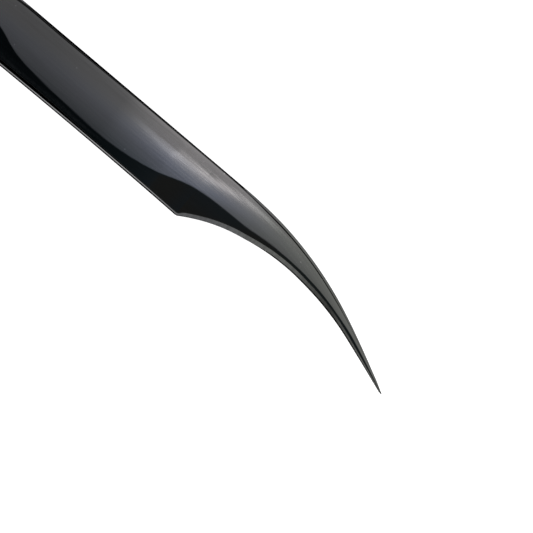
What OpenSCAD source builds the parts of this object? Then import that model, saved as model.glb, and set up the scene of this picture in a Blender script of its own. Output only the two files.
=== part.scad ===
// Curved fine-point tweezers: two sprung steel arms welded to a wedge-shaped spacer at the tail.
//
// The tweezers lie on the flat of their lower arm, with +X towards the tips, +Z up and +Y on the
// spine side, so the points curve down towards -Y. The origin is the middle of the footprint, on
// the table. Each arm is drawn in the frame of the mid-plane: x runs from the tail end to the tips,
// and z is the height over the plane that the two arms mirror in. lay_down() then tips the pair
// onto the table.

/* [Overall] */
// Length from the tail end to the tips
length = 120; // [105:1:150]
// Width of an arm over the grip
arm_w = 9.75; // [8:0.05:12]
// Thickness of the arm stock
arm_t = 1.3; // [0.9:0.05:1.8]

/* [Tail] */
// Width of an arm at the tail end
tail_w = 8.2; // [6.5:0.1:9.5]
// Radius of the two corners at the tail end
tail_r = 2.6; // [1:0.1:3.2]
// Length over which an arm widens from the tail to the grip
tail_taper_len = 44; // [25:1:50]
// Length of the spacer between the arms, and of the weld
spacer_len = 12; // [8:0.5:18]
// Thickness of the spacer at the tail end, where it is thinnest
spacer_t = 0.6; // [0.3:0.1:1.5]

/* [Bow, seen from the side] */
// Angle at which each arm leaves the mid-plane
spread_angle = 4.2; // [3:0.1:5.5]
// Length of the flat of each arm, from the tail end to the bow
flat_len = 62; // [50:1:70]
// Radius of the bow, on the inner face
bow_r = 120; // [60:5:200]
// Angle at which the inner face turns back towards the mid-plane, ahead of the bow
toe_angle = 1; // [0:0.1:2]

/* [Curved point, seen from above] */
// Length from the notch to the tips
hook_len = 41; // [34:0.5:46]
// Distance from the notch forward to the throat, the inside of the curve
throat_dist = 17.5; // [15:0.5:20]
// Height of the throat over the arm's centre line
throat_y = -0.23; // [-1:0.01:1]
// Distance from the notch forward to where the spine starts to curve
spine_start = 5.8; // [2:0.1:10]
// Length of the straight end of the spine edge, up to the tip
spine_point_len = 10.3; // [4:0.1:12]
// Length of the straight end of the belly edge, up to the tip
belly_point_len = 9.1; // [4:0.1:12]
// Height of the tips over the arm's centre line
tip_y = -5.55; // [-7:0.05:-4.5]
// Width of a tip
tip_w = 0.2; // [0.15:0.01:0.5]
// Thickness of a tip
tip_t = 0.25; // [0.15:0.01:0.5]
// Hollow of the belly edge between the notch and the tail
waist = 0.2; // [0.05:0.01:0.4]

/* [Hidden] */

half_w = arm_w / 2;

// Most that the straights of an arc may lie off the true curve
arc_tol = 0.01;

// Points of an arc of radius r about c, from angle a0 to angle a1
function arc(c, r, a0, a1) =
    let (n = ceil(abs(a1 - a0) / (2 * acos(1 - arc_tol / r))))
    [for (i = [0 : n]) let (a = a0 + (a1 - a0) * i / n) c + r * [cos(a), sin(a)]];

// Radius of an arc that starts at p, level, and ends in a straight of length straight at q
function run_out_r(p, q, straight) =
    (pow(norm(q - p), 2) - straight * straight) / (2 * (p.y - q.y));

// Angle at which a line from point p lies on the left-hand side of a circle
function tangent_angle(c, r, p) =
    atan2(p.y - c.y, p.x - c.x) + acos(r / norm(p - c));

// Radius and centre of an arc from p to q whose middle lies sag to the left of the chord
function bulge_r(p, q, sag) = (pow(norm(q - p) / 2, 2) + sag * sag) / (2 * sag);
function bulge_centre(p, q, sag) =
    let (along = (q - p) / norm(q - p), left = [-along.y, along.x])
    (p + q) / 2 - (bulge_r(p, q, sag) - sag) * left;

// Outline of an arm seen from above
notch = [length - hook_len, -half_w];
throat = [notch.x + throat_dist, throat_y];
notch_r = run_out_r(throat, notch, 0);
notch_c = throat - [0, notch_r];
tip_spine = [length, tip_y + tip_w / 2];
tip_belly = [length, tip_y - tip_w / 2];
belly_r = run_out_r(throat, tip_belly, belly_point_len);
belly_c = throat - [0, belly_r];
spine_bend = [notch.x + spine_start, half_w];
spine_r = run_out_r(spine_bend, tip_spine, spine_point_len);
spine_c = spine_bend - [0, spine_r];
belly_start = [tail_taper_len, -half_w];
waist_r = bulge_r(belly_start, notch, waist);
waist_c = bulge_centre(belly_start, notch, waist);
waist_half = asin(norm(notch - belly_start) / 2 / waist_r);

arm_outline = concat(
    arc([tail_r, tail_w / 2 - tail_r], tail_r, 180, 90),
    [[tail_taper_len, half_w]],
    arc(spine_c, spine_r, 90, tangent_angle(spine_c, spine_r, tip_spine)),
    [tip_spine, tip_belly],
    arc(belly_c, belly_r, tangent_angle(belly_c, belly_r, tip_belly), 90),
    arc(notch_c, notch_r, 90, 90 + asin(throat_dist / notch_r)),
    arc(waist_c, waist_r, 90 - waist_half, 90 + waist_half),
    arc([tail_r, tail_r - tail_w / 2], tail_r, 270, 180)
);

// Outline of an arm seen from the side, over the mid-plane. It starts behind the tail end, where
// the outline from above cuts it square.
along_flat = [cos(spread_angle), sin(spread_angle)];
off_flat = [-sin(spread_angle), cos(spread_angle)];
inner_start = [0, spacer_t / 2];
behind = inner_start - arm_t * along_flat;
bow_start = inner_start + flat_len * along_flat;
bow_c = bow_start - bow_r * off_flat;
bow_end = bow_c + bow_r * [sin(toe_angle), cos(toe_angle)];
tip_z = bow_end.y - (length - bow_end.x) * tan(toe_angle);

arm_profile = concat(
    [behind],
    arc(bow_c, bow_r, 90 + spread_angle, 90 - toe_angle),
    [[length, tip_z], [length, tip_z + tip_t]],
    arc(bow_c, bow_r + arm_t, 90 - toe_angle, 90 + spread_angle),
    [behind + arm_t * off_flat]
);

// The spacer fills the wedge between the arms, up to where the weld ends
spacer_front_z = inner_start.y + spacer_len * tan(spread_angle);
spacer_profile = [
    [0, -inner_start.y],
    [spacer_len, -spacer_front_z],
    [spacer_len, spacer_front_z],
    [0, inner_start.y]
];

// How the pair lies: the flat of the lower arm is on the table
flat_height = arm_t + inner_start.y * cos(spread_angle);
centre_x = length / 2;
centre_y = (half_w + tip_belly.y) / 2;

module lay_down()
    translate([-centre_x, -centre_y, flat_height])
        rotate([0, -spread_angle, 0])
            children();

// A solid with the outline of an arm from above, cut to an outline from the side
module cut_from_arm_outline(profile)
    intersection() {
        translate([0, 0, -length / 2])
            linear_extrude(height = length)
                polygon(arm_outline);
        translate([0, length / 2, 0])
            rotate([90, 0, 0])
                linear_extrude(height = length)
                    polygon(profile);
    }

module upper_arm()
    color("#17181b")
        lay_down()
            cut_from_arm_outline(arm_profile);

module lower_arm()
    color("#131417")
        lay_down()
            mirror([0, 0, 1])
                cut_from_arm_outline(arm_profile);

module tail_spacer()
    color("#222327")
        lay_down()
            cut_from_arm_outline(spacer_profile);

upper_arm();
lower_arm();
tail_spacer();
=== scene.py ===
import math

import bpy
from mathutils import Matrix, Vector


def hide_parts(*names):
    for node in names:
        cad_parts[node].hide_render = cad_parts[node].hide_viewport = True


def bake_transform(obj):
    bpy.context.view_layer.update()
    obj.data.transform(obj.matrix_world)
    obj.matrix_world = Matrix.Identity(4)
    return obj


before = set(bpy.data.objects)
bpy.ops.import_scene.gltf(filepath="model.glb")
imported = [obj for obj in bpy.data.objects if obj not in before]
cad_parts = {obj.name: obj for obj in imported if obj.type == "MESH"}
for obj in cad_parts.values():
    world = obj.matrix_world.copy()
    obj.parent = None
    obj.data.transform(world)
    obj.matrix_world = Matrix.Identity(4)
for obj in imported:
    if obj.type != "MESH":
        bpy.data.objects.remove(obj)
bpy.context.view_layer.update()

# Curved fine-point tweezers in black mirror steel. Each arm's plain solid is replaced by a finished
# blade, and the spacer between them at the tail keeps its solid.
#
# Sizes are in mm until placed() turns them into metres. u runs along an arm from the tail end to
# the tip, y runs across it towards the spine edge, and heights are over the mid-plane, the plane
# that the two arms mirror in.

MM = 0.001

# ---------------------------------------------------------------- sizes of the tweezers

LENGTH = 120.0
HALF_W = 4.875
ARM_T = 1.3
TAIL_HALF_W = 4.1
TAIL_R = 2.6
TAPER_LEN = 41.0
SPREAD = math.radians(4.2)
HALF_SPACER_T = 0.3
FLAT_LEN = 62.0
BOW_R = 120.0
TOE = math.radians(1.0)
NOTCH = Vector((79.0, -HALF_W))
THROAT = Vector((96.5, -0.23))
SPINE_BEND = Vector((84.8, HALF_W))
TIP_SPINE = Vector((LENGTH, -5.45))
TIP_BELLY = Vector((LENGTH, -5.65))
TIP_T = 0.25
# the straight ends of the two edges, up to the tip
SPINE_POINT_LEN = 10.3
BELLY_POINT_LEN = 9.1
# hollow of the belly edge between the taper and the notch
WAIST = 0.16
# the foot of the belly edge stands this far out, and ends in the corner of the notch
FOOT = 0.16
CORNER = 78.85
# past that corner, the notch is cut this much deeper than its arc, over this length
NOTCH_HOLLOW = 0.14
NOTCH_HOLLOW_LEN = 10.0
# how far the edges of the point stand outside their arcs, as (place, distance) stops
SPINE_FULLNESS = ((88, 0.0), (94, 0.05), (108, 0.06), (114, 0.15), (118, 0.12), (120, 0.0))
BELLY_FULLNESS = ((97, 0.0), (101, 0.06), (110, 0.06), (116, 0.0))


def run_out_radius(start, end, straight):
    """Radius of an arc that leaves start level and ends in a straight of that length at end."""
    return ((end - start).length_squared - straight * straight) / (2 * (start.y - end.y))


NOTCH_R = run_out_radius(THROAT, NOTCH, 0.0)
BELLY_R = run_out_radius(THROAT, TIP_BELLY, BELLY_POINT_LEN)
SPINE_R = run_out_radius(SPINE_BEND, TIP_SPINE, SPINE_POINT_LEN)


def hill(top, radius, u):
    """Height at u of an arc of that radius whose highest point is top."""
    return top.y - radius + math.sqrt(radius * radius - (u - top.x) ** 2)


def run_out_end(top, radius, tip):
    """Where the arc under top passes into the straight that ends at tip."""
    centre = top - Vector((0, radius))
    to_tip = tip - centre
    turn = math.atan2(to_tip.y, to_tip.x) + math.acos(radius / to_tip.length)
    return centre + radius * Vector((math.cos(turn), math.sin(turn)))


def between(a, b, u):
    """Height at u of the straight from a to b."""
    return a.y + (b.y - a.y) * (u - a.x) / (b.x - a.x)


def ramp(u, *stops):
    """A value that eases from one (place, value) stop to the next, level at each of them."""
    if u <= stops[0][0]:
        return stops[0][1]
    for (u0, a), (u1, b) in zip(stops, stops[1:]):
        if u < u1:
            t = (u - u0) / (u1 - u0)
            return a + (b - a) * t * t * (3 - 2 * t)
    return stops[-1][1]


def curve_through(stops, u):
    """A smooth line through the (place, value) stops, with no kink at any of them."""
    if u <= stops[0][0]:
        return stops[0][1]
    for n in range(len(stops) - 1):
        (u0, a), (u1, b) = stops[n], stops[n + 1]
        if u < u1:
            before = stops[max(n - 1, 0)]
            after = stops[min(n + 2, len(stops) - 1)]
            da = (b - before[1]) / (u1 - before[0]) * (u1 - u0)
            db = (after[1] - a) / (after[0] - u0) * (u1 - u0)
            t = (u - u0) / (u1 - u0)
            return ((2 * t ** 3 - 3 * t ** 2 + 1) * a + (t ** 3 - 2 * t ** 2 + t) * da
                    + (3 * t ** 2 - 2 * t ** 3) * b + (t ** 3 - t ** 2) * db)
    return stops[-1][1]


# ---------------------------------------------------------------- outline of an arm

SPINE_RUN = run_out_end(SPINE_BEND, SPINE_R, TIP_SPINE)
BELLY_RUN = run_out_end(THROAT, BELLY_R, TIP_BELLY)


def tail_corner(u):
    """Half the width over one of the round corners at the tail end."""
    return TAIL_HALF_W - TAIL_R + math.sqrt(max(0.0, TAIL_R ** 2 - (TAIL_R - u) ** 2))


def spine(u):
    """Place of the spine edge across the arm."""
    if u < TAIL_R:
        return tail_corner(u)
    if u < TAPER_LEN:
        return between(Vector((TAIL_R, TAIL_HALF_W)), Vector((TAPER_LEN, HALF_W)), u)
    if u < SPINE_BEND.x:
        return HALF_W
    full = ramp(u, *SPINE_FULLNESS)
    if u < SPINE_RUN.x:
        return hill(SPINE_BEND, SPINE_R, u) + full
    return between(SPINE_RUN, TIP_SPINE, u) + full


def belly(u):
    """Place of the belly edge across the arm."""
    if u < TAPER_LEN:
        return -spine(u) - ramp(u, (TAIL_R, 0.0), (TAPER_LEN, FOOT))
    if u < CORNER:
        half = (CORNER - TAPER_LEN) / 2
        radius = (half * half + WAIST * WAIST) / (2 * WAIST)
        return hill(Vector((TAPER_LEN + half, WAIST - HALF_W)), radius, u) - FOOT
    if u < THROAT.x:
        past = u - CORNER
        deeper = (NOTCH_HOLLOW * math.sin(math.pi * past / NOTCH_HOLLOW_LEN)
                  if u < CORNER + NOTCH_HOLLOW_LEN else 0.0)
        return hill(THROAT, NOTCH_R, u) + deeper
    full = ramp(u, *BELLY_FULLNESS)
    if u < BELLY_RUN.x:
        return hill(THROAT, BELLY_R, u) - full
    return between(BELLY_RUN, TIP_BELLY, u) - full


BOW_START = Vector((FLAT_LEN * math.cos(SPREAD), HALF_SPACER_T + FLAT_LEN * math.sin(SPREAD)))
BOW_C = BOW_START + BOW_R * Vector((math.sin(SPREAD), -math.cos(SPREAD)))


def bowed(u, offset):
    """Height of the inner face over the mid-plane, or of a face that far outside it."""
    radius = BOW_R + offset
    start = BOW_C + radius * Vector((-math.sin(SPREAD), math.cos(SPREAD)))
    end = BOW_C + radius * Vector((math.sin(TOE), math.cos(TOE)))
    if u < start.x:
        return start.y + (u - start.x) * math.tan(SPREAD)
    if u < end.x:
        return BOW_C.y + math.sqrt(radius * radius - (u - BOW_C.x) ** 2)
    inner_end = BOW_C + BOW_R * Vector((math.sin(TOE), math.cos(TOE)))
    tip = inner_end.y - (LENGTH - inner_end.x) * math.tan(TOE) + (TIP_T if offset else 0.0)
    return between(end, Vector((LENGTH, tip)), u)


# ---------------------------------------------------------------- outer face of an arm

# slope of the crowned face half a width away from its crest
CROWN_SLOPE = math.tan(math.radians(3.0))
# the crest lies this share of half the width nearer the spine
CREST_SHIFT = 0.16
# slope of the flat ground along the belly, and how much of it there is along the arm
FACET_SLOPE = math.tan(math.radians(5.5))
FACET_GROWTH = ((16, 0.0), (34, 1.0), (98, 1.0), (116, 1.4))
# the ridge where the face and that flat meet, which wanders across the arm
RIDGE = ((20, 0.6), (34, 0.5), (40, -0.4), (44.4, -2.0), (49, -2.7), (56.4, -3.15), (63.9, -3.3),
         (71.5, -2.2), (77.5, -0.25), (82, 0.3), (88, 0.4), (94, 0.85), (101.6, 0.45),
         (109.2, -1.25), (114, -3.0), (120, -5.55))
# the ridge is rounded this far to each side, and less on the narrow point
RIDGE_ROUNDING = 0.18
RIDGE_ROUNDING_SHARE = 0.08
LEAST_HALF_W = 0.1


def half_width(u):
    return max(LEAST_HALF_W, (spine(u) - belly(u)) / 2)


def rounding(u):
    """How far the ridge is rounded to each side."""
    return min(RIDGE_ROUNDING, RIDGE_ROUNDING_SHARE * half_width(u))


def top(u, y):
    """Height of the outer face over the mid-plane."""
    half = half_width(u)
    crest = (spine(u) + belly(u)) / 2 + CREST_SHIFT * half
    drop = CROWN_SLOPE / (2 * half) * (y - crest) ** 2
    soft = rounding(u)
    past = curve_through(RIDGE, u) - y
    if past > soft:
        facet = past
    elif past > -soft:
        facet = (past + soft) ** 2 / (4 * soft)
    else:
        facet = 0.0
    return bowed(u, ARM_T) - drop - ramp(u, *FACET_GROWTH) * FACET_SLOPE * facet


# ---------------------------------------------------------------- edges of an arm

# Strips ground along an edge, from the edge inwards. Each has its width and its tilt in degrees,
# as (place, value) stops. Widths shrink with the arm where it is narrower than NARROW.
NARROW = 2.4
BEFORE_CORNER = CORNER - 0.1
AFTER_CORNER = CORNER + 0.3
BELLY_STRIPS = (
    # the fine bevel at the very edge
    (((3, 0.02), (12, 0.1), (40, 0.17), (BEFORE_CORNER, 0.18), (AFTER_CORNER, 0.02), (89, 0.02),
      (95, 0.16), (112, 0.18)),
     ((0, 30),)),
    # the main strip, which is broad and wheel-marked past the notch
    (((3, 0.2), (40, 0.17), (BEFORE_CORNER, 0.18), (80, 0.5), (88, 0.66), (96, 0.56), (110, 0.42)),
     ((3, 45), (12, 70), (60, 76), (BEFORE_CORNER, 77), (80, 50), (88, 45), (110, 44))),
    # the roll onto the face
    (((3, 0.2), (12, 0.6), (50, 0.5), (64, 0.2), (BEFORE_CORNER, 0.12), (80, 0.06)),
     ((3, 45), (12, 25))),
)
MARKED_STRIP = 1
SPINE_STRIPS = (
    # the bevel
    (((3, 0.2), (12, 0.45), (36, 0.4), (41, 0.22), (48, 0.34), (56, 0.33), (66, 0.26), (80, 0.22),
      (90, 0.35)),
     ((3, 45), (12, 52), (30, 47), (40, 45.5), (44, 40), (82, 40), (89, 57))),
    # the roll onto the face
    (((3, 0.2), (12, 0.25), (36, 0.4), (48, 0.2), (60, 0.1), (82, 0.08), (92, 0.22), (100, 0.18),
      (112, 0.1)),
     ((3, 45), (12, 28), (80, 28), (90, 27))),
)
# the face is followed this far past the strips, and the inner edge is bevelled by BURR. Both are at
# most EDGE_SHARE of the width.
LEAD = 0.3
BURR = 0.06
EDGE_SHARE = 0.1
# each corner between strips is cut back by this at most, and less where the arm is narrow
CORNER_CUT = 0.035
# where the steel is thin, a strip stops short of the inner face, above a line of this slope
WALL_SLOPE = 0.45
# the edge's direction is read over this distance to each side
EDGE_STEP = 0.4


def inward(edge, u, side):
    """Direction from an edge into the steel, seen from above."""
    if u < TAIL_R:
        middle = Vector((TAIL_R, side * (TAIL_HALF_W - TAIL_R)))
        return (middle - Vector((u, edge(u)))).normalized()
    ahead = min(u + EDGE_STEP, LENGTH)
    slope = (edge(ahead) - edge(u - EDGE_STEP)) / (ahead - u + EDGE_STEP)
    return Vector((slope, -1) if side > 0 else (-slope, 1)).normalized()


def softened(points, cut):
    """The points with each corner but the ends cut round."""
    out = [points[0]]
    for a, p, b in zip(points, points[1:], points[2:]):
        ta, tb = (a - p), (b - p)
        pa = p + ta.normalized() * min(cut, 0.45 * ta.length)
        pb = p + tb.normalized() * min(cut, 0.45 * tb.length)
        out.append(pa)
        for t in (0.25, 0.5, 0.75):
            out.append(pa * (1 - t) ** 2 + p * (2 * t * (1 - t)) + pb * t ** 2)
        out.append(pb)
    return out + [points[-1]]


def side_profile(u, edge, side, strips, marked_strip=None):
    """Points from the inner face up a side and onto the outer face, each with whether it lies on
    the wheel-marked strip. strips are (width, tilt) pairs from the edge inwards."""
    width = spine(u) - belly(u)
    p, n = Vector((u, edge(u))), inward(edge, u, side)
    inside = sum(w for w, tilt in strips)
    lead = min(LEAD, EDGE_SHARE * width)
    burr = min(BURR, EDGE_SHARE * width)
    low = bowed(u, 0.0)
    # each point of the rise is (distance in from the edge, height)
    rise = []
    for d in (inside + lead, inside):
        q = p + n * d
        rise.append(Vector((d, top(min(q.x, LENGTH), q.y))))
    for w, tilt in reversed(strips):
        d = max(0.0, rise[-1].x - w)
        height = rise[-1].y - w * math.tan(math.radians(tilt))
        rise.append(Vector((d, max(height, low + 1.5 * burr + WALL_SLOPE * d))))
    foot = sum(w for w, tilt in strips[:marked_strip]) if marked_strip else -1.0
    crest = foot + (strips[marked_strip][0] if marked_strip else 0.0)
    wall = rise[-1].y
    rise += [Vector((0.0, low + burr)), Vector((burr, low)), Vector((burr + lead, low))]
    out = []
    for at in reversed(softened(rise, min(CORNER_CUT, 0.02 * width + 0.005))):
        s = p + n * max(at.x, 0.0)
        marked = foot - 0.02 < at.x < crest + 0.03 and at.y > wall - 0.01
        out.append((Vector((min(max(s.x, 0.0), LENGTH), s.y, at.y)),
                    float(marked and u > CORNER)))
    return out


# ---------------------------------------------------------------- making an arm

# how many steps the ground flat and the rest of the face are divided into, across the arm
FACET_STEPS = 8
FACE_STEPS = 20
# the ridge keeps this share of the width away from the edges
RIDGE_CLEARANCE = 0.02
# (start, end, step) of the places along an arm where its section is set
STATION_STEPS = ((TAIL_R, 44, 1.4), (44, 60, 0.8), (60, 78.45, 0.4), (78.45, 79.25, 0.1),
                 (79.25, 97, 0.4), (97, 116, 0.35), (116, LENGTH, 0.25))


def section(u):
    """The points round an arm at one place along it."""
    width = spine(u) - belly(u)
    small = min(1.0, width / NARROW)
    belly_strips, spine_strips = (
        [(small * ramp(u, *widths), ramp(u, *tilts)) for widths, tilts in strips]
        for strips in (BELLY_STRIPS, SPINE_STRIPS))
    up = side_profile(u, belly, -1, belly_strips, MARKED_STRIP)
    down = list(reversed(side_profile(u, spine, 1, spine_strips)))
    a, b = up[-1][0], down[0][0]
    at_ridge = (curve_through(RIDGE, u) - a.y) / (b.y - a.y)
    soft = rounding(u) / (b.y - a.y)
    at_ridge = min(max(at_ridge, 3 * soft + RIDGE_CLEARANCE), 1 - 3 * soft - RIDGE_CLEARANCE)
    shares = [at_ridge + k * soft for k in (-2, -1, -0.5, 0, 0.5, 1, 2)]
    shares = ([shares[0] * k / FACET_STEPS for k in range(1, FACET_STEPS)] + shares
              + [shares[-1] + (1 - shares[-1]) * k / FACE_STEPS for k in range(1, FACE_STEPS)])
    across = [a.lerp(b, share) for share in shares]
    across = [(Vector((s.x, s.y, top(s.x, s.y))), 0.0) for s in across]
    c, d = down[-1][0], up[0][0]
    under = [c.lerp(d, k / 4) for k in (1, 2, 3)]
    under = [(Vector((s.x, s.y, bowed(s.x, 0.0))), 0.0) for s in under]
    return up + across + down + under


def stations():
    """Places along an arm where its section is set, closer together where it turns faster."""
    places = [TAIL_R * (1 - math.cos(math.radians(a))) for a in range(0, 90, 9)]
    for start, end, step in STATION_STEPS:
        count = round((end - start) / step)
        places += [start + (end - start) * k / count for k in range(count)]
    return places + [LENGTH]


def rings():
    """All the sections of an arm, and before them its end wall: the first one pulled back onto the
    end plane."""
    sections = [section(u) for u in stations()]
    first = sections[0]
    walls = [p.z for p, mark in first if p.x < 1e-6]
    end = [(Vector((0.0, p.y, min(max(p.z, min(walls)), max(walls)))), 0.0) for p, mark in first]
    return [end] + sections


# how the pair lies: the flat of the lower arm is on the table
ORIGIN = Vector((-LENGTH / 2, -(HALF_W + TIP_BELLY.y) / 2,
                 ARM_T + HALF_SPACER_T * math.cos(SPREAD)))
ALONG = Vector((math.cos(SPREAD), 0, math.sin(SPREAD)))
ACROSS = Vector((0, 1, 0))
OVER = Vector((-math.sin(SPREAD), 0, math.cos(SPREAD)))


def placed(u, y, v):
    """A point of the mid-plane's frame, in mm, as it lies on the table, in metres."""
    return MM * (ORIGIN + u * ALONG + y * ACROSS + v * OVER)


# the UV map is in mm. V runs round the section and is this half way round, so none is negative
UV_MIDDLE = 40
MERGE_DISTANCE = 2e-7
SMOOTH_BELOW = math.radians(38)


def make_arm(name, side):
    """An arm as one closed mesh: a grid whose rows become the arm's sections. side is 1 for the
    upper arm and -1 for its mirror image."""
    marked = rings()
    loops = [[p for p, mark in ring] for ring in marked]
    count, around = len(loops), len(loops[0])
    bpy.ops.object.select_all(action="DESELECT")
    bpy.ops.mesh.primitive_grid_add(x_subdivisions=count - 1, y_subdivisions=around, size=1)
    arm = bpy.context.object
    arm.name = arm.data.name = name
    cell = {}
    for vert in arm.data.vertices:
        cell[vert.index] = (round((vert.co.x + 0.5) * (count - 1)),
                            round((vert.co.y + 0.5) * around))
    lengths = []
    for ring in loops:
        run = [0.0]
        for j in range(around):
            run.append(run[-1] + (ring[(j + 1) % around] - ring[j]).length)
        lengths.append(run)
    uv = arm.data.uv_layers[0].data
    for loop in arm.data.loops:
        i, j = cell[loop.vertex_index]
        across = lengths[i][j] - lengths[i][around] / 2 + UV_MIDDLE
        uv[loop.index].uv = (loops[i][j % around].x, across)
    ground = arm.data.attributes.new("edge_grind", "FLOAT", "POINT")
    for vert in arm.data.vertices:
        i, j = cell[vert.index]
        p, mark = marked[i][j % around]
        ground.data[vert.index].value = mark
        vert.co = placed(p.x, p.y, side * p.z)
    bpy.ops.object.mode_set(mode="EDIT")
    bpy.ops.mesh.select_all(action="SELECT")
    bpy.ops.mesh.remove_doubles(threshold=MERGE_DISTANCE)
    bpy.ops.mesh.select_all(action="DESELECT")
    bpy.ops.mesh.select_mode(type="EDGE")
    bpy.ops.mesh.select_non_manifold()
    bpy.ops.mesh.fill_holes(sides=0)
    bpy.ops.mesh.select_all(action="SELECT")
    bpy.ops.mesh.normals_make_consistent(inside=False)
    bpy.ops.object.mode_set(mode="OBJECT")
    bpy.ops.object.shade_smooth_by_angle(angle=SMOOTH_BELOW)
    return arm


upper_arm = make_arm("upper_arm_blade", 1)
lower_arm = make_arm("lower_arm_blade", -1)

# ---------------------------------------------------------------- finishes


def linear(hex_colour):
    """An sRGB hex colour as the linear one that a shader takes."""
    out = []
    for k in (1, 3, 5):
        c = int(hex_colour[k:k + 2], 16) / 255
        out.append(c / 12.92 if c <= 0.04045 else ((c + 0.055) / 1.055) ** 2.4)
    return (*out, 1.0)


def grey(value):
    return (value, value, value, 1.0)


def node(tree, kind, settings=None, **links):
    """Adds a node; settings go on its properties or sockets, and links feed its inputs."""
    made = tree.nodes.new(kind)
    for key, value in (settings or {}).items():
        if key == "stops":
            while len(made.color_ramp.elements) < len(value):
                made.color_ramp.elements.new(0.5)
            for element, (place, colour) in zip(made.color_ramp.elements, value):
                element.position, element.color = place, colour
        elif isinstance(key, str) and hasattr(made, key):
            setattr(made, key, value)
        else:
            made.inputs[key].default_value = value
    for key, source in links.items():
        name = int(key[1:]) if key[0] == "_" else key.replace("_", " ")
        tree.links.new(source, made.inputs[name])
    return made


def new_material(name):
    """A material with an empty node tree, and the tree."""
    mat = bpy.data.materials.new(name)
    mat.use_nodes = True
    mat.node_tree.nodes.clear()
    return mat, mat.node_tree


def black_mirror_steel():
    """Stainless steel, polished along the blade and coated black by vapour deposition: a dark
    metal mirror with a faint grain of polishing lines. The strip ground along the point keeps
    slanting wheel marks under the coat."""
    mat, tree = new_material("black_mirror_steel")
    # the UV map is in mm: U along the blade, V round it
    place = node(tree, "ShaderNodeTexCoord")
    uv = place.outputs["UV"]
    # polishing lines 0.33 mm apart and 8 mm long; real ones are finer than can show
    line_at = node(tree, "ShaderNodeMapping",
                   {"Rotation": (0.0, 0.0, 0.05), "Scale": (0.12, 3.0, 1.0)}, Vector=uv)
    lines = node(tree, "ShaderNodeTexNoise", {"Scale": 1.0, "Detail": 4.0, "Roughness": 0.55},
                 Vector=line_at.outputs["Vector"])
    # soft unevenness of the coat, about 17 mm long and 8 mm across
    cloud_at = node(tree, "ShaderNodeMapping", {"Scale": (0.06, 0.13, 1.0)}, Vector=uv)
    cloud = node(tree, "ShaderNodeTexNoise", {"Scale": 1.0, "Detail": 2.0},
                 Vector=cloud_at.outputs["Vector"])
    # the coat turns from a cool grey-black along the grip to a faintly green one at the point
    grip_coat = node(tree, "ShaderNodeValToRGB",
                     {"stops": ((0.3, linear("#494a4b")), (0.7, linear("#4b4b4c")))},
                     Fac=cloud.outputs["Fac"])
    point_coat = node(tree, "ShaderNodeValToRGB",
                      {"stops": ((0.3, linear("#4a4b49")), (0.7, linear("#4c4d4b")))},
                      Fac=cloud.outputs["Fac"])
    uv_parts = node(tree, "ShaderNodeSeparateXYZ", Vector=uv)
    to_point = node(tree, "ShaderNodeMapRange",
                    {"interpolation_type": "SMOOTHSTEP", "From Min": 82.0, "From Max": 96.0},
                    Value=uv_parts.outputs["X"])
    coats = node(tree, "ShaderNodeMix", {"data_type": "RGBA"}, _0=to_point.outputs["Result"],
                 _6=grip_coat.outputs["Color"], _7=point_coat.outputs["Color"])
    streaks = node(tree, "ShaderNodeValToRGB", {"stops": ((0.3, grey(0.93)), (0.7, grey(1.0)))},
                   Fac=lines.outputs["Fac"])
    lined = node(tree, "ShaderNodeMix", {"data_type": "RGBA", "blend_type": "MULTIPLY", 0: 1.0},
                 _6=coats.outputs[2], _7=streaks.outputs["Color"])
    # wheel marks 0.5 mm apart, slanting across the ground strip
    mark_at = node(tree, "ShaderNodeMapping",
                   {"Rotation": (0.0, 0.0, 0.9), "Scale": (2.0, 0.5, 1.0)}, Vector=uv)
    marks = node(tree, "ShaderNodeTexNoise", {"Scale": 1.0, "Detail": 2.0},
                 Vector=mark_at.outputs["Vector"])
    ground = node(tree, "ShaderNodeAttribute", {"attribute_name": "edge_grind"})
    scored = node(tree, "ShaderNodeValToRGB", {"stops": ((0.38, grey(0.8)), (0.6, grey(1.0)))},
                  Fac=marks.outputs["Fac"])
    colour = node(tree, "ShaderNodeMix", {"data_type": "RGBA", "blend_type": "MULTIPLY"},
                  _0=ground.outputs["Fac"], _6=lined.outputs[2], _7=scored.outputs["Color"])
    # the mirror is a little less sharp along the lines, and duller on the ground strip
    gloss = node(tree, "ShaderNodeMapRange",
                 {"From Min": 0.3, "From Max": 0.7, "To Min": 0.045, "To Max": 0.1},
                 Value=lines.outputs["Fac"])
    duller = node(tree, "ShaderNodeMath", {"operation": "MULTIPLY_ADD", 1: 0.12},
                  _0=ground.outputs["Fac"], _2=gloss.outputs["Result"])
    bump = node(tree, "ShaderNodeBump", {"Strength": 1.0, "Distance": 0.0000025},
                Height=lines.outputs["Fac"])
    # specks of dust about 0.2 mm across, one in every 8 mm or so
    speck_at = node(tree, "ShaderNodeTexVoronoi", {"voronoi_dimensions": "2D", "Scale": 0.13},
                    Vector=uv)
    specks = node(tree, "ShaderNodeValToRGB",
                  {"stops": ((0.008, grey(0.06)), (0.014, grey(0.0)))},
                  Fac=speck_at.outputs["Distance"])
    dusty = node(tree, "ShaderNodeMix", {"data_type": "RGBA", "blend_type": "ADD", 0: 1.0},
                 _6=colour.outputs[2], _7=specks.outputs["Color"])
    steel = node(tree, "ShaderNodeBsdfPrincipled", {"Metallic": 1.0},
                 Base_Color=dusty.outputs[2], Roughness=duller.outputs["Value"],
                 Normal=bump.outputs["Normal"])
    node(tree, "ShaderNodeOutputMaterial", Surface=steel.outputs["BSDF"])
    return mat


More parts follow.
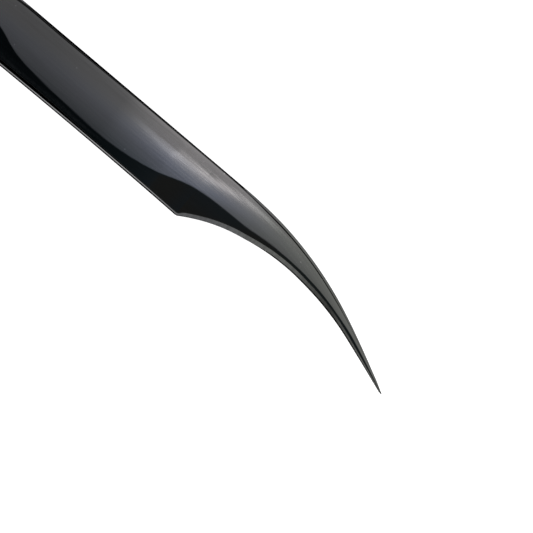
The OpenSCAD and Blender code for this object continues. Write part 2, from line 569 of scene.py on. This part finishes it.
def black_ground_steel():
    """Ground steel under the same black coat: a duller grey-black with short grinding marks."""
    mat, tree = new_material("black_ground_steel")
    # marks 0.33 mm thick and 3.3 mm long, on coordinates in metres; real ones are finer than can
    # show
    place = node(tree, "ShaderNodeTexCoord")
    mark_at = node(tree, "ShaderNodeMapping", {"Scale": (3000.0, 300.0, 3000.0)},
                   Vector=place.outputs["Object"])
    marks = node(tree, "ShaderNodeTexNoise", {"Scale": 1.0, "Detail": 4.0},
                 Vector=mark_at.outputs["Vector"])
    tint = node(tree, "ShaderNodeValToRGB",
                {"stops": ((0.0, linear("#3a3b3e")), (1.0, linear("#4a4b4d")))},
                Fac=marks.outputs["Fac"])
    gloss = node(tree, "ShaderNodeMapRange", {"To Min": 0.3, "To Max": 0.5},
                 Value=marks.outputs["Fac"])
    bump = node(tree, "ShaderNodeBump", {"Strength": 0.3, "Distance": 0.00003},
                Height=marks.outputs["Fac"])
    steel = node(tree, "ShaderNodeBsdfPrincipled", {"Metallic": 1.0},
                 Base_Color=tint.outputs["Color"], Roughness=gloss.outputs["Result"],
                 Normal=bump.outputs["Normal"])
    node(tree, "ShaderNodeOutputMaterial", Surface=steel.outputs["BSDF"])
    return mat


mirror_steel = black_mirror_steel()
ground_steel = black_ground_steel()
for arm in (upper_arm, lower_arm):
    arm.data.materials.clear()
    arm.data.materials.append(mirror_steel)
for material_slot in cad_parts["tail_spacer"].material_slots:
    material_slot.material = ground_steel

# ---------------------------------------------------------------- the blades take the place of the plain arms

for arm, body, cad in ((upper_arm, "upper", "upper_arm"), (lower_arm, "lower", "lower_arm")):
    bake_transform(arm)
    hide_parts(cad)

# ---------------------------------------------------------------- floor and room

# in metres; the floor lies just under the lower arm, so that the two faces don't coincide
FLOOR_SIZE = 8
FLOOR_DROP = 0.0001


def stage_plane(name, size, reflection_only=False):
    """A plane that isn't part of the tweezers."""
    bpy.ops.object.select_all(action="DESELECT")
    bpy.ops.mesh.primitive_plane_add(size=size)
    plane = bpy.context.object
    plane.name = name
    if reflection_only:
        plane.visible_camera = plane.visible_diffuse = plane.visible_shadow = False
    return plane


floor = stage_plane("floor", FLOOR_SIZE)
floor.location.z = -FLOOR_DROP
lit_acrylic, tree = new_material("white_acrylic_light_table")
glow = node(tree, "ShaderNodeEmission", {"Color": linear("#ffffff"), "Strength": 0.85})
matt = node(tree, "ShaderNodeBsdfDiffuse", {"Color": linear("#bcbcbc")})
both = node(tree, "ShaderNodeAddShader", _0=glow.outputs["Emission"], _1=matt.outputs["BSDF"])
node(tree, "ShaderNodeOutputMaterial", Surface=both.outputs["Shader"])
floor.data.materials.append(lit_acrylic)

# a white room that lights the floor, but that the steel doesn't mirror
world = bpy.data.worlds.new("studio")
bpy.context.scene.world = world
world.use_nodes = True
background = world.node_tree.nodes["Background"]
background.inputs["Color"].default_value = grey(1)
background.inputs["Strength"].default_value = 1.0
world.cycles_visibility.glossy = False

# ---------------------------------------------------------------- lights that the steel mirrors

# The panel hangs square over the mid-plane at PANEL_AT, and is PANEL_SIZE metres wide. Places on it
# are in mm from its middle, along the blade and across it, out to PANEL_REACH.
PANEL_SIZE = 2
PANEL_AT = (94, -2, 1000.0)
PANEL_REACH = 400

# soft areas: how bright each is along the blade and across it, and its strength
AREAS = (
    # the fill, over the spine side and fading towards the belly
    (((-270, 0.36), (-194, 0.48), (-45, 0.57), (40, 0.67), (80, 0.6), (120, 0.75)),
     ((-103, 0.0), (-88, 0.5), (-45, 0.85), (0, 1.0)),
     2.0),
    # the rise in brightness towards the spine side, short of the point
    (((-270, 0.14), (-194, 0.58), (-110, 0.88), (-45, 0.92), (35, 0.95), (60, 0.7), (80, 0.18),
      (120, 0.12)),
     ((-25, 0.0), (14, 0.4), (40, 0.55), (60, 0.48), (78, 0.44), (94, 0.95)),
     2.0),
)
# lines of light along the blade: where each lies across it, how it swells and fades, its half-width
# and its strength
LINES = (
    # the lamp strip
    (((-150, 36), (-60, 32.8), (-45, 32.8), (23, 36.8), (35, 50.8), (47, 55.2), (63, 60.8),
      (80, 60)),
     ((-190, 0.0), (-45, 0.45), (20, 0.8), (48, 1.0), (72, 0.22), (90, 0.0)),
     14.4, 8.0),
    # its far edge
    (((-150, 49), (-60, 30), (37, 23.5)),
     ((-180, 0.0), (-120, 0.7), (-40, 1.0), (20, 0.8), (40, 0.0)),
     2.4, 0.9),
    # a thin line low on the belly side
    (((-300, -310), (-268, -308), (-235, -290), (-194, -288)),
     ((-300, 1.0), (-240, 1.0), (-180, 0.0)),
     3.2, 0.4),
)
# tints are linear, as they are amounts of light. The spill is what the rest of the studio gives the
# panel, and the tint of its own light goes from cool on the belly side to warm on the spine side.
SPILL = ((-300, (0.02, 0.03, 0.035)), (-100, (0.05, 0.075, 0.085)), (64, (0.1, 0.13, 0.15)),
         (96, (0.12, 0.12, 0.11)))
TINT_ACROSS = ((-104, (0.82, 1.0, 1.15)), (-40, (0.93, 0.97, 1.14)), (0, (0.92, 0.97, 1.2)),
               (24, (0.95, 0.97, 1.08)), (48, (1.05, 0.985, 0.96)))
TINT_ALONG = ((-270, 0.4), (-120, 0.8), (-45, 1.0), (44, 1.0), (62, 0.3), (85, -0.1))


def share(mm):
    """A place on the panel, from 0 at one end of its reach to 1 at the other."""
    return (mm + PANEL_REACH) / (2 * PANEL_REACH)


def over_panel(pairs):
    """Settings of a colour ramp through (place on the panel, grey value or tint) pairs."""
    return {"stops": [(share(mm), (*value, 1.0) if isinstance(value, tuple) else grey(value))
                      for mm, value in pairs]}


def panel_light():
    """A large soft light over the mid-plane, seen only in reflections: dim towards the tail and the
    belly side, brighter towards the spine side, with one bright lamp strip along it."""
    panel = stage_plane("softbox_panel", PANEL_SIZE, reflection_only=True)
    turn = Matrix((ALONG, ACROSS, OVER)).transposed()
    panel.matrix_world = Matrix.Translation(placed(*PANEL_AT)) @ turn.to_4x4()
    mat, tree = new_material("softbox")
    at = node(tree, "ShaderNodeTexCoord")
    xyz = node(tree, "ShaderNodeSeparateXYZ", Vector=at.outputs["Object"])
    along, across = (
        node(tree, "ShaderNodeMapRange",
             {"From Min": -PANEL_REACH * MM, "From Max": PANEL_REACH * MM},
             Value=xyz.outputs[axis]).outputs["Result"]
        for axis in ("X", "Y"))
    pairs = []
    for by_u, by_y, gain in AREAS:
        level_u = node(tree, "ShaderNodeValToRGB", over_panel(by_u), Fac=along)
        level_y = node(tree, "ShaderNodeValToRGB", over_panel(by_y), Fac=across)
        pairs.append((level_u, level_y, gain))
    for middle, swell, half, gain in LINES:
        mid = node(tree, "ShaderNodeValToRGB", over_panel([(mm, share(y)) for mm, y in middle]),
                   Fac=along)
        level = node(tree, "ShaderNodeValToRGB", over_panel(swell), Fac=along)
        off = node(tree, "ShaderNodeMath", {"operation": "SUBTRACT"},
                   _0=across, _1=mid.outputs["Color"])
        away = node(tree, "ShaderNodeMath", {"operation": "ABSOLUTE"}, _0=off.outputs["Value"])
        line = node(tree, "ShaderNodeMapRange",
                    {"interpolation_type": "SMOOTHSTEP", "From Min": 0.0,
                     "From Max": half / (2 * PANEL_REACH), "To Min": 1.0, "To Max": 0.0},
                    Value=away.outputs["Value"])
        pairs.append((level, line, gain))
    total = None
    for a, b, gain in pairs:
        pair = node(tree, "ShaderNodeMath", {"operation": "MULTIPLY"},
                    _0=a.outputs[0], _1=b.outputs[0])
        sum_up = node(tree, "ShaderNodeMath", {"operation": "MULTIPLY_ADD", 1: gain, 2: 0.0},
                      _0=pair.outputs["Value"])
        if total:
            tree.links.new(total, sum_up.inputs[2])
        total = sum_up.outputs["Value"]
    tint_y = node(tree, "ShaderNodeValToRGB", over_panel(TINT_ACROSS), Fac=across)
    tint_u = node(tree, "ShaderNodeValToRGB", over_panel(TINT_ALONG), Fac=along)
    tint = node(tree, "ShaderNodeMix", {"data_type": "RGBA", 6: grey(1.0)},
                _0=tint_u.outputs["Color"], _7=tint_y.outputs["Color"])
    light = node(tree, "ShaderNodeEmission", Color=tint.outputs[2], Strength=total)
    spill_u = node(tree, "ShaderNodeValToRGB", over_panel(SPILL), Fac=along)
    spill = node(tree, "ShaderNodeEmission", Color=spill_u.outputs["Color"])
    both = node(tree, "ShaderNodeAddShader",
                _0=light.outputs["Emission"], _1=spill.outputs["Emission"])
    node(tree, "ShaderNodeOutputMaterial", Surface=both.outputs["Shader"])
    panel.data.materials.append(mat)


def light_card(name, place, size, radiance):
    """A card of light that faces the tweezers, seen only in reflections. It fades towards its ends
    and its top. Place and size are in metres."""
    card = stage_plane(name, 1, reflection_only=True)
    card.scale = (*size, 1)
    card.location = place
    card.rotation_euler = (-Vector(place)).to_track_quat("Z", "Y").to_euler()
    mat, tree = new_material(name)
    at = node(tree, "ShaderNodeTexCoord")
    xyz = node(tree, "ShaderNodeSeparateXYZ", Vector=at.outputs["Object"])
    end = node(tree, "ShaderNodeMath", {"operation": "ABSOLUTE"}, _0=xyz.outputs["X"])
    fade = node(tree, "ShaderNodeMapRange",
                {"interpolation_type": "SMOOTHSTEP", "From Min": 0.25, "From Max": 0.5,
                 "To Min": radiance, "To Max": 0.0}, Value=end.outputs["Value"])
    lower = node(tree, "ShaderNodeMapRange",
                 {"interpolation_type": "SMOOTHSTEP", "From Min": 0.5, "From Max": -0.1,
                  "To Min": 0.15, "To Max": 1.0}, Value=xyz.outputs["Y"])
    level = node(tree, "ShaderNodeMath", {"operation": "MULTIPLY"},
                 _0=fade.outputs["Result"], _1=lower.outputs["Result"])
    light = node(tree, "ShaderNodeEmission", Strength=level.outputs["Value"])
    node(tree, "ShaderNodeOutputMaterial", Surface=light.outputs["Emission"])
    card.data.materials.append(mat)


panel_light()
for card in (("belly_side_card", (0.0, -0.6, 0.11), (2.4, 0.24), 1.8),
             ("belly_over_card", (0.0, -0.66, 1.0), (2.6, 0.4), 0.6),
             ("spine_side_card", (0.0, 1.2, 0.44), (3.0, 0.46), 0.6),
             ("tail_card", (-1.6, 0.0, 0.8), (2.8, 1.5), 0.6),
             ("tip_card", (1.6, 0.0, 0.8), (2.8, 1.5), 0.6),
             ("tail_belly_card", (-1.2, -1.2, 0.42), (2.0, 0.7), 0.5),
             ("tail_spine_card", (-1.2, 1.2, 0.8), (2.0, 1.4), 0.5),
             ("tip_belly_card", (1.2, -1.2, 0.8), (2.0, 1.4), 0.35),
             ("tip_spine_card", (1.2, 1.2, 0.42), (2.0, 0.7), 0.5)):
    light_card(*card)

# ---------------------------------------------------------------- camera

# square over the outer face of the upper arm, at the point and the front of the grip, in mm
VIEW_DISTANCE = 600.0
VIEW_WIDTH = 80.4
VIEW_ROLL = math.radians(40.3)
VIEW_MIDDLE = (94.3, -2.05, 5.59)
SENSOR = 36.0

camera_data = bpy.data.cameras.new("camera")
camera = bpy.data.objects.new("camera", camera_data)
bpy.context.collection.objects.link(camera)
right = math.cos(VIEW_ROLL) * ALONG + math.sin(VIEW_ROLL) * ACROSS
up = math.cos(VIEW_ROLL) * ACROSS - math.sin(VIEW_ROLL) * ALONG
camera.matrix_world = (Matrix.Translation(placed(*VIEW_MIDDLE) + OVER * VIEW_DISTANCE * MM)
                       @ Matrix((right, up, OVER)).transposed().to_4x4())
camera_data.sensor_width = SENSOR
camera_data.lens = SENSOR * VIEW_DISTANCE / VIEW_WIDTH
camera_data.clip_start, camera_data.clip_end = 0.01, 20.0
bpy.context.scene.camera = camera
bpy.context.scene.view_settings.view_transform = "Standard"
